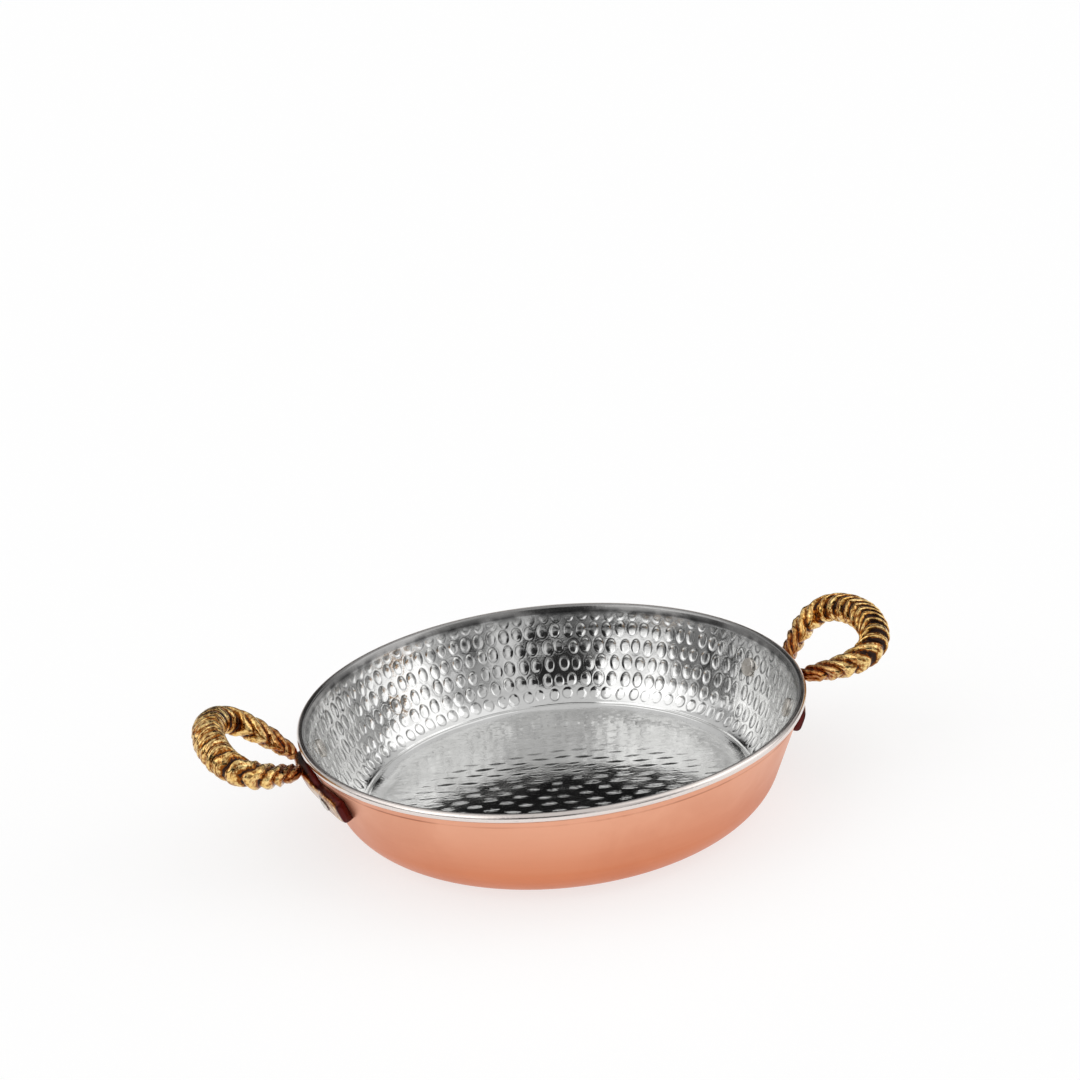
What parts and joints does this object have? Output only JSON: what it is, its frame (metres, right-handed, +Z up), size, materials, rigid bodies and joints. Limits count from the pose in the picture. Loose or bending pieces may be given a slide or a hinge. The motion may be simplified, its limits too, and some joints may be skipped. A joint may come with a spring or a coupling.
{
  "type": "two-handled pan",
  "caption": "Shallow round copper pan with a rolled rim, a hammered tinned lining and riveted brass loop handles in a rope twist, for cooking and serving.",
  "frame": {"origin": "the middle of the resting face, on the table", "axes": "+Z is up, the handles point along +X and -X, and the front is -Y"},
  "size_m": [0.2784, 0.2, 0.0589],
  "materials": {
    "copper": "satin",
    "tin": "hammered, polished",
    "cast_brass": "cast, half polished",
    "rivet": "satin"
  },
  "bodies": {
    "root": {"copper_body": "copper", "tin_lining": "tin", "handle_right": "cast_brass", "handle_left": "cast_brass", "rivet_right_front": "rivet", "rivet_right_back": "rivet", "rivet_left_front": "rivet", "rivet_left_back": "rivet"}
  },
  "joints": []
}
